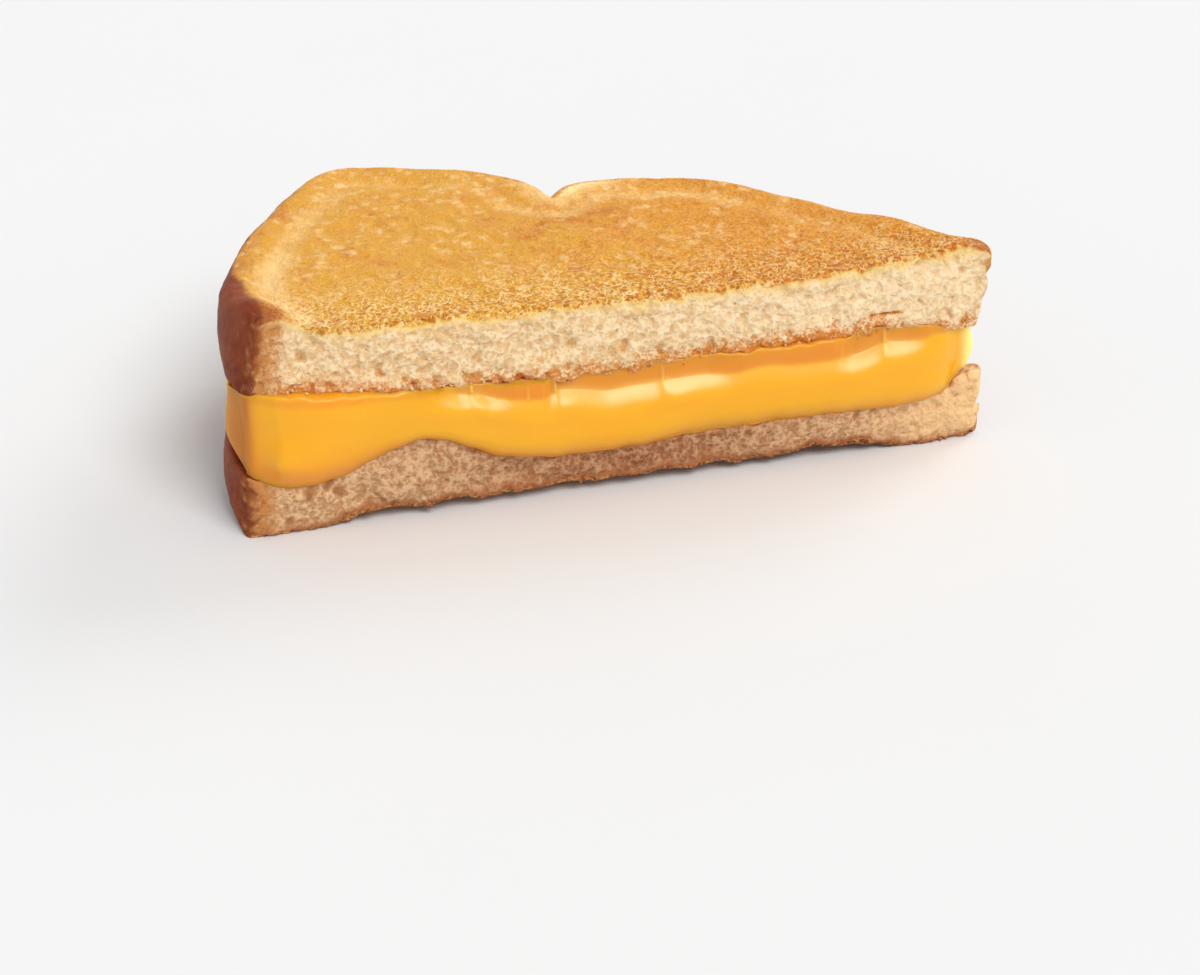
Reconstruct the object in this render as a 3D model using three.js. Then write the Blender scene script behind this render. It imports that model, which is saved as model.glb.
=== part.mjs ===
// Half of a grilled cheese sandwich, cut from corner to corner: two slices of fried white bread with a thick
// layer of melted cheese between them. Millimetres, +Z up.
//
// The cut face looks along -Y, and the sharp corner of the slice points along +X. The sandwich lies on its
// lower slice, with the origin on the surface it rests on, under the middle of its bounding box.
//
// Each piece is one closed surface. A column is a place on the edge of the slice's plan. A row joins one step
// of every column, on the way from the middle of the upper side out to the edge, down the wall and back in
// under the piece. Heights are functions of the place in the plan.

import * as THREE from "three";

const { lerp, smoothstep, clamp } = THREE.MathUtils;

// ---- Plan of the half slice ---------------------------------------------------------------------

// The cut runs along X from the blunt end to the sharp tip. Behind it the crust climbs over the domed top of
// the loaf, dips into the notch under the dome and follows the loaf's side to the tip.
const cut_start = new THREE.Vector2(-0.6, 0);
const cut_end = new THREE.Vector2(131.4, 0);
const tip = new THREE.Vector2(133, 2.2);
const shoulder = new THREE.Vector2(85.5, 48.6);
const notch = new THREE.Vector2(63.6, 45.4);
const dome = new THREE.Vector2(32, 69);
const blunt_end = new THREE.Vector2(-2.2, 2.6);

// The middle that the faces are drawn in towards, and the stretch of X that the crust's columns head for.
const middle = new THREE.Vector2(56, 22);
const spine = [26, 100];

// ---- Sizes of the layers ------------------------------------------------------------------------

// Heights above the table, away from the edges.
const lower_slice_height = 9.6;
const upper_slice_foot = 24.2;
const sandwich_height = 37.6;
const layer_gap = 0.45; // between the cheese and the bread

// Edges of the bread.
const crust_round = 2.8;
const cut_round = 0.8;
const crust_bulge = 0.7;
const crumb_relief = 0.9; // depth of the open crumb on the cut face
const torn_edge = 0.4; // how far the upper slice's lower edge wanders along the cut
const rim_width = 7; // how far in from the crust its different thickness shows
const rim_height = { top: 0.2, upper_foot: -1.8, lower_top: 3.4 };
const groove = { inset: 8.5, width: 2.6, depth: 0.7 }; // sunk ring inside the crust, on top

// The upper slice's crust leans in at the blunt end, and its foot draws back at the tip.
const crust_lean = 0.4;
const blunt_lean = { top: { reach: 12, inset: 4.4 }, foot: { reach: 20, inset: 1.6 } };
const tip_inset = { width: 8, upper_foot: 2, lower_top: 0.8 };

// Free edge of the cheese.
const cheese_bulge = 2.7; // stands out of the cut face
const cheese_recess = 0.9; // stays behind the crust
const cheese_hang = 0.6; // how far the bulge hangs over the lower slice
const cheese_tip = { inset: 5, width: 7 }; // stays behind the tip
const cheese_corner = { bulge: 1.4, reach: 12 }; // squeezed out past the crust at the blunt end

// Swells along the cut, each with its place, width and height.
const tip_x = 134;
const top_swells = [[0, 6, 3.4], [22, 20, 0.9], [126, 13, 1.8]];
const upper_foot_swells = [[-3, 27, 3], [114, 7, 1.2]];
const lower_top_swells = [[-3, 4, 3.6], [29, 11, 6], [60, 14, -0.9], [136, 9, 5.2]];
const cheese_swells = [[-2, 5, -1.2], [9, 9, 0.7], [47, 5, 0.5], [61, 5, 0.4]];

// The lower slice curls off the table between the two ends of the cut.
const curl = { height: 2.2, starts: [8, 22], ends: [104, 120] };

// How far behind the cut its shape still shows, and how far the curl does.
const cut_reach = 15;
const curl_reach = 12;

// ---- Steps of the surfaces ----------------------------------------------------------------------

const inner_shares = [0.45, 0.8, 1]; // across a hidden face, as shares of the way out
const top_shares = [0.3, 0.52, 0.7, 0.83, 0.92, 1];
const edge_turns = [Math.PI / 6, Math.PI / 3]; // round the edge of a face
const nose_steps = 9; // down the free edge of the cheese

// ---- Shapes -------------------------------------------------------------------------------------

// A smooth hump of the given height at a place, fading over a width.
function hump(x, at, width, height) {
  return height * Math.exp(-(((x - at) / width) ** 2));
}

function swell(x, swells) {
  return swells.reduce((sum, [at, width, height]) => sum + hump(x, at, width, height), 0);
}

// Uneven waves between -1 and 1, over two directions.
function waves(a, b) {
  return (Math.sin(a) + Math.sin(1.7 * a + 2.3 * b + 1) + Math.sin(0.6 * a - 1.9 * b + 4)) / 3;
}

// A scattered value between 0 and 1 that stays the same for the same place.
function scatter(a, b) {
  const value = Math.sin(a * 12.9898 + b * 78.233) * 43758.5453;
  return value - Math.floor(value);
}

// ---- Heights over the plan ----------------------------------------------------------------------

// Each height takes the place, how far it belongs to the rim (1 at the crust) and to the sunk ring.

function blend_from_cut(at_cut, inside, y) {
  return lerp(inside, at_cut, Math.exp(-((y / cut_reach) ** 2)));
}

function upper_slice_top(x, y, rim, ring) {
  const at_cut = sandwich_height - 1.2 + swell(x, top_swells);
  const inside = sandwich_height + 0.4 * waves(x / 9, y / 8) + rim_height.top * rim;
  return blend_from_cut(at_cut, inside, y) - groove.depth * ring;
}

function upper_slice_bottom(x, y, rim) {
  const at_cut = upper_slice_foot - 0.8 + swell(x, upper_foot_swells) + torn_edge * waves(x, 0);
  return blend_from_cut(at_cut, upper_slice_foot + rim_height.upper_foot * rim, y);
}

// Squeezed thin, but for a hump a quarter of the way along the cut and both its ends.
function lower_slice_top(x, y, rim) {
  const at_cut = lower_slice_height - 0.2 + swell(x, lower_top_swells) + 0.25 * waves(x * 0.7, 2);
  return blend_from_cut(at_cut, lower_slice_height + rim_height.lower_top * rim, y);
}

function lower_slice_bottom(x, y) {
  const arch = smoothstep(x, ...curl.starts) * (1 - smoothstep(x, ...curl.ends));
  return arch * (curl.height + 0.4 * waves(x * 0.4, 1)) * (1 - smoothstep(y, 0, curl_reach));
}

// ---- Columns ------------------------------------------------------------------------------------

// The plan's edge, counter-clockwise from the blunt end: each stretch is a curve, with the number of columns
// on it and the share of crust where it starts and where it ends.
function plan_stretches() {
  const p = (x, y) => new THREE.Vector2(x, y);
  const bezier = (...points) => new THREE.CubicBezierCurve(...points);
  const turn = (...points) => new THREE.QuadraticBezierCurve(...points);
  return [
    { curve: new THREE.LineCurve(cut_start, cut_end), steps: 62, crust: [0, 0] },
    { curve: turn(cut_end, p(134, 0), tip), steps: 3, crust: [0, 1] },
    { curve: bezier(tip, p(118.5, 21.5), p(95.5, 49.5), shoulder), steps: 20, crust: [1, 1] },
    { curve: bezier(shoulder, p(71, 51.6), p(69.5, 51.6), notch), steps: 8, crust: [1, 1] },
    { curve: bezier(notch, p(58.6, 61.4), p(51.4, 63), dome), steps: 13, crust: [1, 1] },
    { curve: bezier(dome, p(20, 72.7), p(-9.2, 22), blunt_end), steps: 22, crust: [1, 1] },
    { curve: turn(blunt_end, p(-2.1, 0), cut_start), steps: 3, crust: [1, 0] },
  ];
}

// Each column heads inwards for the nearest place on the spine. Its stretch is how far it has to go for the
// edge to move in by one millimetre.
function plan_columns() {
  return plan_stretches().flatMap(({ curve, steps, crust }) => Array.from({ length: steps }, (_, i) => {
    const share = i / steps;
    const edge = curve.getPointAt(share);
    const along = curve.getTangentAt(share);
    const inward = new THREE.Vector2(clamp(edge.x, ...spine), middle.y).sub(edge).normalize();
    const facing = along.x * inward.y - along.y * inward.x;
    return { edge, inward, stretch: 1 / Math.max(facing, 0.75), crust: lerp(...crust, share) };
  }));
}

const columns = plan_columns();

// The place that lies inset millimetres in from a column's edge; outside the edge for a negative inset.
function place_at(column, inset) {
  return column.edge.clone().addScaledVector(column.inward, inset * column.stretch);
}

// The level of a surface over a place on a column.
function level_at(surface, column, place) {
  const distance = place.distanceTo(column.edge) / column.stretch;
  const rim = column.crust * hump(distance, 0, rim_width, 1);
  const ring = column.crust * hump(distance, groove.inset, groove.width, 1);
  return surface(place.x, place.y, rim, ring);
}

// ---- Rows ---------------------------------------------------------------------------------------

// A row through every column; point_of gives the place and the level.
function row(point_of) {
  return columns.map((column) => {
    const [place, level] = point_of(column);
    return new THREE.Vector3(place.x, place.y, level);
  });
}

// Rows for the given number of steps; row_of takes the share of the way.
function rows_down(steps, row_of) {
  return Array.from({ length: steps }, (_, i) => row_of(i / (steps - 1)));
}

// Rows across a face, from near the middle out to the inset where its edge starts to turn.
function face_rows(surface, inset_of, shares, offset = 0) {
  return shares.map((share) => row((column) => {
    const place = middle.clone().lerp(place_at(column, inset_of(column)), share);
    return [place, level_at(surface, column, place) + offset];
  }));
}

function round_of(column) {
  return lerp(cut_round, crust_round, column.crust);
}

// Rows round an edge from a face to the wall; side is 1 above the wall and -1 below it.
function edge_rows(surface, inset_of, side) {
  return edge_turns.map((turn) => row((column) => {
    const round = round_of(column);
    const place = place_at(column, inset_of(column) + round * (1 - Math.sin(turn)));
    return [place, level_at(surface, column, place) - side * round * (1 - Math.cos(turn))];
  }));
}

// Rows down the wall of a slice. The crust bulges a little, and the cut shows the hollows of the crumb.
function wall_rows({ top, bottom, top_inset, bottom_inset, wall_steps }) {
  return rows_down(wall_steps, (share) => row((column) => {
    const high = level_at(top, column, place_at(column, top_inset(column))) - round_of(column);
    const low = level_at(bottom, column, place_at(column, bottom_inset(column))) + round_of(column);
    const bulge = column.crust * crust_bulge * Math.sin(Math.PI * share);
    const hollow = (1 - column.crust) * crumb_relief * scatter(column.edge.x, share);
    const inset = lerp(top_inset(column), bottom_inset(column), share);
    return [place_at(column, inset - bulge + hollow), lerp(high, low, share)];
  }));
}

// One closed surface through the rows, with a point in the middle of the first and the last. Each square is
// split from its inner to its outer row, above and below alike, so that faces which touch are split alike.
function closed_surface(rows, first_point, last_point) {
  const points = [...rows.flat(), first_point, last_point];
  const count = columns.length;
  const end = (rows.length - 1) * count;
  const faces = [];
  for (let c = 0; c < count; c += 1) {
    const next = (c + 1) % count;
    faces.push(points.length - 2, c, next, end + c, points.length - 1, end + next);
    for (let here = 0; here < end; here += count) {
      const below = here + count;
      const upper_half = [here + c, below + next, here + next, below + next, here + c, below + c];
      const lower_half = [below + c, here + next, here + c, here + next, below + c, below + next];
      faces.push(...(here < end / 2 ? upper_half : lower_half));
    }
  }
  const geometry = new THREE.BufferGeometry().setFromPoints(points);
  geometry.setIndex(faces);
  geometry.computeVertexNormals();
  return geometry;
}

// The point of a surface over the middle of the plan.
function middle_point(surface, offset = 0) {
  return new THREE.Vector3(middle.x, middle.y, surface(middle.x, middle.y, 0, 0) + offset);
}

// ---- Pieces -------------------------------------------------------------------------------------

const towards_blunt_end = (column, { reach, inset }) => hump(column.edge.length(), 0, reach, inset);
const towards_tip = (column, inset) => hump(column.edge.x, tip_x, tip_inset.width, inset);

const upper_slice = {
  top: upper_slice_top,
  bottom: upper_slice_bottom,
  top_inset: (column) => crust_lean * column.crust + towards_blunt_end(column, blunt_lean.top),
  bottom_inset: (column) =>
    towards_blunt_end(column, blunt_lean.foot) + towards_tip(column, tip_inset.upper_foot),
  top_shares,
  wall_steps: 7,
};

const lower_slice = {
  top: lower_slice_top,
  bottom: lower_slice_bottom,
  top_inset: (column) => towards_tip(column, tip_inset.lower_top),
  bottom_inset: () => 0,
  top_shares: inner_shares,
  wall_steps: 6,
};

function slice_geometry(slice) {
  const face_inset = (inset_of) => (column) => inset_of(column) + round_of(column);
  const rows = [
    ...face_rows(slice.top, face_inset(slice.top_inset), slice.top_shares),
    ...edge_rows(slice.top, slice.top_inset, 1),
    ...wall_rows(slice),
    ...edge_rows(slice.bottom, slice.bottom_inset, -1).reverse(),
    ...face_rows(slice.bottom, face_inset(slice.bottom_inset), inner_shares).reverse(),
  ];
  return closed_surface(rows, middle_point(slice.top), middle_point(slice.bottom));
}

// How far in from the plan's edge the cheese ends: outside the cut, but behind the crust and the tip.
function cheese_inset(column) {
  const { x, y } = column.edge;
  const behind_tip = hump(x, tip_x, cheese_tip.width, cheese_tip.inset);
  const at_cut = behind_tip - cheese_bulge - swell(x, cheese_swells) - 0.35 * waves(x / 5, 1);
  const squeezed = x < middle.x ? hump(y, 4, cheese_corner.reach, cheese_corner.bulge) : 0;
  const at_crust = cheese_recess + 0.6 * waves(x / 5, y / 4) - squeezed;
  return lerp(at_cut, at_crust, column.crust);
}

// The share of a column's bulge that hangs over the lower slice: all along the cut, but not at the tip.
function overhang(column) {
  return (1 - column.crust) * (1 - hump(column.edge.x, tip_x, 6, 1));
}

// The cheese fills the space between the slices, and a free edge bulges out from between them.
function cheese_geometry() {
  const upper_root = (column) => round_of(column) + upper_slice.bottom_inset(column);
  const lower_root = (column) => round_of(column) + lower_slice.top_inset(column);
  const free_rows = rows_down(nose_steps, (share) => row((column) => {
    const root = lerp(upper_root(column), lower_root(column), share);
    const fullness = Math.sin(Math.PI * lerp(0.07, 0.9, share)) ** 0.6;
    const clear_of_slice = lerp(root, -layer_gap - 0.2, overhang(column));
    const limit = share > 0.5 ? clear_of_slice : root;
    const place = place_at(column, Math.min(lerp(root, cheese_inset(column), fullness), limit));
    const high = level_at(upper_slice.bottom, column, place) - layer_gap;
    const low = level_at(lower_slice.top, column, place) + layer_gap - cheese_hang * overhang(column);
    return [place, lerp(high, low, share)];
  }));
  const rows = [
    ...face_rows(upper_slice.bottom, upper_root, inner_shares, -layer_gap),
    ...free_rows,
    ...face_rows(lower_slice.top, lower_root, inner_shares, layer_gap).reverse(),
  ];
  const ends = [middle_point(upper_slice.bottom, -layer_gap), middle_point(lower_slice.top, layer_gap)];
  return closed_surface(rows, ...ends);
}

function piece(name, geometry, color, roughness) {
  const mesh = new THREE.Mesh(geometry, new THREE.MeshStandardMaterial({ color, roughness, metalness: 0 }));
  mesh.name = name;
  return mesh;
}

const sandwich = new THREE.Group();
sandwich.add(
  piece("upper_slice", slice_geometry(upper_slice), 0xe3a552, 0.7),
  piece("cheese", cheese_geometry(), 0xf6b133, 0.3),
  piece("lower_slice", slice_geometry(lower_slice), 0xc8976b, 0.75),
);

// Centres the footprint on the origin.
const box = new THREE.Box3().setFromObject(sandwich);
const centre = box.getCenter(new THREE.Vector3());
sandwich.position.set(-centre.x, -centre.y, -box.min.z);

export default sandwich;
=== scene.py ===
"""Half a grilled cheese sandwich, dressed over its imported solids, with its floor, light and camera."""

import itertools

import bmesh
import bpy
import numpy as np
from mathutils import Matrix, Vector


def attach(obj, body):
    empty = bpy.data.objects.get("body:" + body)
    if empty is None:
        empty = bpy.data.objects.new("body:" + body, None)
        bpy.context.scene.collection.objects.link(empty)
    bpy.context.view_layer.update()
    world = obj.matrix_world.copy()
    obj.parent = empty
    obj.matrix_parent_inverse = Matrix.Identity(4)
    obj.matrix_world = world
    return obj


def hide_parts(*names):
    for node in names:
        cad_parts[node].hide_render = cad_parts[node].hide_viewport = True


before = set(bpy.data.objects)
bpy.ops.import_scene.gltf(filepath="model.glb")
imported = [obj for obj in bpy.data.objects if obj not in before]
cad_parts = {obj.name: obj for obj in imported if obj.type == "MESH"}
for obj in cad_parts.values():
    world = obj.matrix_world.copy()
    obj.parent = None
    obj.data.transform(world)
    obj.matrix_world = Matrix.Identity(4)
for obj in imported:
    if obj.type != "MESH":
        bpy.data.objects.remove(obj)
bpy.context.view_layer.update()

bl_info = {
    "name": "Grilled Cheese Sandwich",
    "version": (1, 0, 0),
    "blender": (4, 5, 0),
    "location": "View3D > Sidebar > Sandwich",
    "description": "Builds half a grilled cheese sandwich with fried bread and melted cheese",
    "category": "Add Mesh",
}

# ---- Plan of the half slice, in millimetres ----
# The cut runs along X, the crust lies behind it, and the middle of the part is at PLAN_CENTRE.

PLAN_CENTRE = np.array([64.732, 33.089])
CUT_START, CUT_END = (-0.6, 0.0), (131.4, 0.0)
TIP, SHOULDER, NOTCH = (133.0, 2.2), (85.5, 48.6), (63.6, 45.4)
DOME, BLUNT_END = (32.0, 69.0), (-2.2, 2.6)
BLUNT_CORNER, TIP_CORNER = (-2.1, 0.0), (134.0, 0.0)
TIP_X = 134.0

# Sections across the half slice, counted where the crust passes each of its named places, and the place on
# the cut that each of these is joined to.
SECTIONS_AT = [0, 6, 136, 222, 284, 444, 450]
CUT_X_AT = [CUT_START[0], 38.0, 64.0, 84.0, CUT_END[0]]

# Heights, roundings and swells of the layers, as in the solids. A swell is a place, a width and a height.
LOWER_TOP, UPPER_FOOT, SANDWICH_TOP = 9.6, 24.2, 37.6
CRUST_ROUND, CRUST_INNER_ROUND, CUT_ROUND, CRUST_BULGE = 2.8, 1.5, 0.8, 0.7
TOP_SWELLS = [(0, 6, 3.4), (22, 20, 0.9), (126, 13, 1.8)]
UPPER_FOOT_SWELLS = [(-3, 27, 3.0), (114, 7, 1.2)]
LOWER_TOP_SWELLS = [(-3, 4, 2.4), (29, 11, 6.0), (60, 14, -0.9), (136, 9, 5.2)]
CHEESE_SWELLS = [(-2, 5, -1.2), (9, 9, 0.7), (47, 5, 0.5), (61, 5, 0.4)]
CUT_REACH, CURL_REACH, TIP_REACH, RIM_REACH = 15.0, 12.0, 5.0, 7.0
RING_AT, RING_WIDTH = 8.5, 2.6
GAP = 0.3

# How far each slice leans in: at its crust, at the top and foot of its blunt end, and at the foot and top of
# its tip, and which ways in are from the blunt end and from the tip.
UPPER_LEANS, LOWER_LEANS = (0.4, 5.8, 1.8, (2.4, 0.6)), (0.0, 0.0, 0.0, (1.2, 1.0))
FROM_BLUNT_END, FROM_TIP = np.array([0.76, 0.65]), np.array([-1.0, 0.25])

# Heights between which the lower slice turns from its side to its top, the roundings of the top and foot of
# the tip (of the upper slice for True), and the place and height of the crease in the upper cut.
LOWER_SHOULDER = (5, 14)
TIP_ROUNDS = {True: (3.0, 2.2), False: (2.6, 3.2)}
CREASE = (113, 27.3)

# Rows of a slice's walls, of its fried and its plain face, and of the cheese's edges and faces, the angles
# that each rounding has a row at, and how near, in metres, vertices are joined where a piece closes up.
WALL_ROWS, FRIED_ROWS, PLAIN_ROWS = 46, 92, 12
EDGE_ROWS, FACE_ROWS = 64, 16
ROUND_TURNS = np.radians([18, 36, 54, 72])
SEAM_WELD = 2e-5

# Where a thread of cheese still clings to the bread: place along the cut, how much of the ridge it lifts, the
# reach of its slope to the right, and how far the lobe below it stands out, in millimetres.
CHEESE_THREADS = [(37.4, 0.95, 1.7, 0.5), (47.0, 0.5, 0.9, 0.1), (52.2, 0.95, 2.2, 0.5),
                  (71.6, 0.6, 2.6, 0.6), (104.5, 0.2, 2.0, 0.3), (112.6, 0.8, 1.6, 0.4)]

# How far back the cheese stays just under the bread, as a share of its bulge, along the cut. It steps out
# clearly below the low values.
RECESS_AT = [0, 30, 35, 40, 45, 50, 53, 80, 86, 103, 107, 110, 114, 117, 121, 134]
RECESS = [0.85, 0.85, 0.4, 0.4, 0.7, 0.7, 0.28, 0.28, 0.6, 0.6, 0.3, 0.3, 0.3, 0.4, 0.7, 0.8]

# How far the cheese hangs over the lower slice, the share of its height over which its ridge steps out, and
# the middle and size of the drop that hangs from its blunt end.
CHEESE_HANG, RIDGE_STEP = 0.6, 0.3
DROOP_AT, DROOP_SIZE = np.array([4.6, -3.5, 15.2]), np.array([3.0, 4.0, 2.8])

# The lumps of the torn flake under the lower slice: their places, radii and how toasted they are.
FLAKE = [(28.6, -0.1, 3.6, 0.6, 0.2), (29.0, -0.3, 3.0, 0.5, 0.3), (29.4, -0.4, 2.3, 0.45, 0.4),
         (29.9, -0.4, 1.7, 0.35, 0.6), (29.1, -0.2, 1.9, 0.3, 0.5)]

# The lower slice's own colours, as screen values, and the factor on its hollows' depth. They are darker than
# the upper slice's, partly because it is fried darker and partly as painted shade, for it lies in shade under
# the cheese.
LOWER_FRIED_AND_SHADED_COLORS = {
    "crumb": (206, 160, 114), "crumb_light": (232, 192, 148), "crumb_shade": (172, 118, 74),
    "fried": (146, 72, 38), "fried_dark": (98, 44, 28), "fried_pale": (222, 164, 100),
    "gilded": (184, 112, 44), "buttered": (174, 108, 64), "soaked": (206, 140, 88),
    # Painted light: the lower slice's colour for light shining through its thin tip.
    "thin": (252, 210, 152), "amber": (158, 84, 42),
}
LOWER_HOLLOW_DEPTH = 0.55

# The stage: each sun light's name, place, angle in degrees and strength, the strength of the light from all
# round, where the floor starts to curve up in metres, and, in millimetres, the place that the camera aims at,
# how far it is moved left and down from there, and its distance.
LIGHTS = [("key", (0.26, -0.66, 0.85), 32, 1.75), ("behind", (0.75, 0.45, 0.5), 30, 0.9)]
SURROUND_STRENGTH = 0.55
FLOOR_CURVE_FROM = 1.5
CAMERA_AIM, CAMERA_LEFT, CAMERA_DOWN, CAMERA_DISTANCE = np.array([70.0, 0.0]), 9.127, 0.984, 480


def fade(distance, reach):
    """1 at no distance, falling as e to the minus square of the distance over the reach."""
    return np.exp(-((distance / reach) ** 2))


def hump(x, at, width, height):
    """A smooth hump: its height, fading with the distance from its place over its width."""
    return height * fade(x - at, width)


def swell(x, swells):
    """The sum of the humps of a list."""
    return sum(hump(x, *one) for one in swells)


def smoothstep(x, low, high):
    """0 below low, 1 above high, and the cubic 3t^2 - 2t^3 between."""
    t = np.clip((x - low) / (high - low), 0, 1)
    return t * t * (3 - 2 * t)


def lerp(a, b, t):
    """The value a share t of the way from a to b."""
    return a + (b - a) * t


def waves(a, b):
    """Three sines of unlike pace, averaged, for slow unevenness."""
    return (np.sin(a) + np.sin(1.7 * a + 2.3 * b + 1) + np.sin(0.6 * a - 1.9 * b + 4)) / 3


def scatter(cells, seed):
    """A scattered value from 0 to 1 for each whole-number cell: its coordinates are multiplied and mixed
    into one integer, of which the upper bits are kept."""
    mixed = np.full(cells.shape[:-1], seed, np.uint64)
    for k in range(cells.shape[-1]):
        mixed = (mixed ^ cells[..., k].astype(np.int64).view(np.uint64)) * np.uint64(0x9E3779B97F4A7C15)
        mixed ^= mixed >> np.uint64(31)
    return (mixed >> np.uint64(40)).astype(float) / 2.0**24


def noise(points, size, seed):
    """Smooth noise from -1 to 1: scattered values on the corners of cells of a size in millimetres, blended
    inside each cell by the curve 6t^5 - 15t^4 + 10t^3."""
    scaled = points / size
    cell = np.floor(scaled)
    t = scaled - cell
    t = t**3 * (t * (6 * t - 15) + 10)
    total = 0.0
    for corner in itertools.product((0, 1), repeat=points.shape[-1]):
        share = np.prod(np.where(corner, t, 1 - t), axis=-1)
        total = total + share * scatter(cell + corner, seed)
    return 2 * total - 1


def drift(points, size, seed):
    """Three smooth noises as a direction, to bend a shape or a pattern out of true."""
    return np.stack([noise(points, size, seed + 3 * k) for k in range(3)], axis=-1)


def bubbles(points, size, seed, fill=1.0, few_large=1.5):
    """How deep a place lies inside scattered round bubbles, from 0 to about 0.7: each cell holds one bubble
    with a scattered centre and radius, and the depth is the half-circle over that radius. The higher
    few_large is, the fewer of the bubbles are large."""
    scaled = points / size
    cell = np.floor(scaled)
    depth = np.zeros(points.shape[:-1])
    for corner in itertools.product((-1, 0, 1), repeat=points.shape[-1]):
        here = cell + corner
        centre = here + np.stack([scatter(here, seed + k) for k in range(points.shape[-1])], axis=-1)
        radius = fill * (0.2 + 0.5 * scatter(here, seed + 9) ** few_large)
        distance = np.linalg.norm(scaled - centre, axis=-1)
        depth = np.maximum(depth, np.sqrt(np.maximum(radius**2 - distance**2, 0)))
    return depth


def corner_round(distance, radius):
    """How far a corner rounded to a radius falls away, at a distance in from it: a quarter of a circle."""
    inside = 1 - np.clip(distance / radius, 0, 1)
    return radius * (1 - np.sqrt(1 - inside**2))


# ---- Sections ----


def bezier(points, count):
    """Count places evenly spaced by length along a Bezier curve, without its last: the control points are
    averaged in pairs until one is left."""
    t = np.linspace(0, 1, 801)[:, None]
    curve = [np.asarray(p, float) for p in points]
    while len(curve) > 1:
        curve = [a + (b - a) * t for a, b in zip(curve[:-1], curve[1:])]
    run = np.concatenate([[0], np.cumsum(np.linalg.norm(np.diff(curve[0], axis=0), axis=1))])
    at = np.linspace(0, run[-1], count + 1)[:-1]
    return np.column_stack([np.interp(at, run, curve[0][:, k]) for k in range(2)])


def between(a, b):
    """The middle of two places."""
    return tuple((np.asarray(a) + np.asarray(b)) / 2)


def half_turn(start, corner, end):
    """The first half of the quadratic curve from start round a corner to end, as control points."""
    a, b = between(start, corner), between(corner, end)
    return [start, a, between(a, b)]


def inward_of(path, side):
    """Unit normals of a path of places, to its left for side 1 and to its right for side -1."""
    along = np.gradient(path, axis=0)
    along /= np.linalg.norm(along, axis=1, keepdims=True) + 1e-12
    return side * np.column_stack([-along[:, 1], along[:, 0]])


class Plan:
    """The sections of the half slice: places on the cut and on the crust, the way from one to the other, its
    length, and how far a step along it moves each edge in."""

    def __init__(self):
        counts = np.diff(SECTIONS_AT)
        blunt = half_turn(CUT_START, BLUNT_CORNER, BLUNT_END)
        blunt_crust = half_turn(BLUNT_END, BLUNT_CORNER, CUT_START)
        tip = half_turn(CUT_END, TIP_CORNER, TIP)
        tip_crust = half_turn(TIP, TIP_CORNER, CUT_END)
        line_x = np.interp(np.arange(SECTIONS_AT[1], SECTIONS_AT[-2]), SECTIONS_AT[1:-1], CUT_X_AT)
        line = np.column_stack([line_x, np.zeros_like(line_x)])
        end = np.array([tip[-1]])
        self.cut = np.vstack([bezier(blunt[::-1], counts[0]), line, bezier(tip, counts[-1]), end])
        crust = [
            bezier(blunt_crust[::-1], counts[0]),
            bezier([BLUNT_END, (-9.2, 22), (20, 72.7), DOME], counts[1]),
            bezier([DOME, (51.4, 63), (58.6, 61.4), NOTCH], counts[2]),
            bezier([NOTCH, (69.5, 51.6), (71, 51.6), SHOULDER], counts[3]),
            bezier([SHOULDER, (95.5, 49.5), (118.5, 21.5), TIP], counts[4]),
            bezier(tip_crust, counts[5]),
            end,
        ]
        self.crust = np.vstack(crust)
        across = self.crust - self.cut
        self.width = np.linalg.norm(across, axis=1)
        self.way = across / np.maximum(self.width, 1e-9)[:, None]
        self.room = np.clip(self.width / 9, 0, 1)
        self.cut_step = 1 / np.clip((self.way * inward_of(self.cut, 1)).sum(1), 0.75, 1)
        self.crust_step = 1 / np.clip((-self.way * inward_of(self.crust, -1)).sum(1), 0.75, 1)

    def near_cut(self, inset):
        """Places a number of millimetres in from the cut."""
        return self.cut + self.way * (inset * self.room * self.cut_step)[:, None]

    def near_crust(self, inset):
        """Places a number of millimetres in from the crust."""
        return self.crust - self.way * (inset * self.room * self.crust_step)[:, None]

    def from_crust(self, places):
        """How far each place of a row lies from the nearest place on the crust."""
        return np.linalg.norm(places[:, None] - self.crust[None], axis=-1).min(axis=1)


# ---- Heights ----
# Each takes places, and how far they lie in from the crust.


def blend_from_cut(at_cut, inside, y):
    """The height at the cut, fading into the height inside."""
    return lerp(inside, at_cut, fade(y, CUT_REACH))


def rim_of(distance):
    """1 at the crust, fading inwards."""
    return fade(distance, RIM_REACH)


def ring_of(distance):
    """1 along the sunk ring inside the crust."""
    return fade(distance - RING_AT, RING_WIDTH)


def upper_top(place, distance):
    """Top of the sandwich: level, swollen along the cut, with a sunk ring inside the crust."""
    x, y = place[..., 0], place[..., 1]
    inside = SANDWICH_TOP + 0.4 * waves(x / 9, y / 8) + 0.2 * rim_of(distance)
    at_cut = SANDWICH_TOP - 1.2 + swell(x, TOP_SWELLS)
    return blend_from_cut(at_cut, inside, y) - 0.4 * ring_of(distance)


def upper_bottom(place, distance):
    """Underside of the upper slice, lower at the crust and higher at both ends of the cut."""
    x, y = place[..., 0], place[..., 1]
    at_cut = UPPER_FOOT - 0.8 + swell(x, UPPER_FOOT_SWELLS) + 0.4 * waves(x, 0)
    return blend_from_cut(at_cut, UPPER_FOOT - 1.8 * rim_of(distance), y)


def lower_top(place, distance):
    """Top of the lower slice: thin, but for a hump a quarter of the way along the cut and both its ends."""
    x, y = place[..., 0], place[..., 1]
    at_cut = LOWER_TOP - 0.2 + swell(x, LOWER_TOP_SWELLS) + 0.25 * waves(x * 0.7, 2)
    low_corner = hump(x, -5, 14, 0.55) * hump(y, 0, 24, 1.0)
    return blend_from_cut(at_cut, LOWER_TOP + 3.4 * rim_of(distance) * (1 - low_corner), y)


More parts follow.
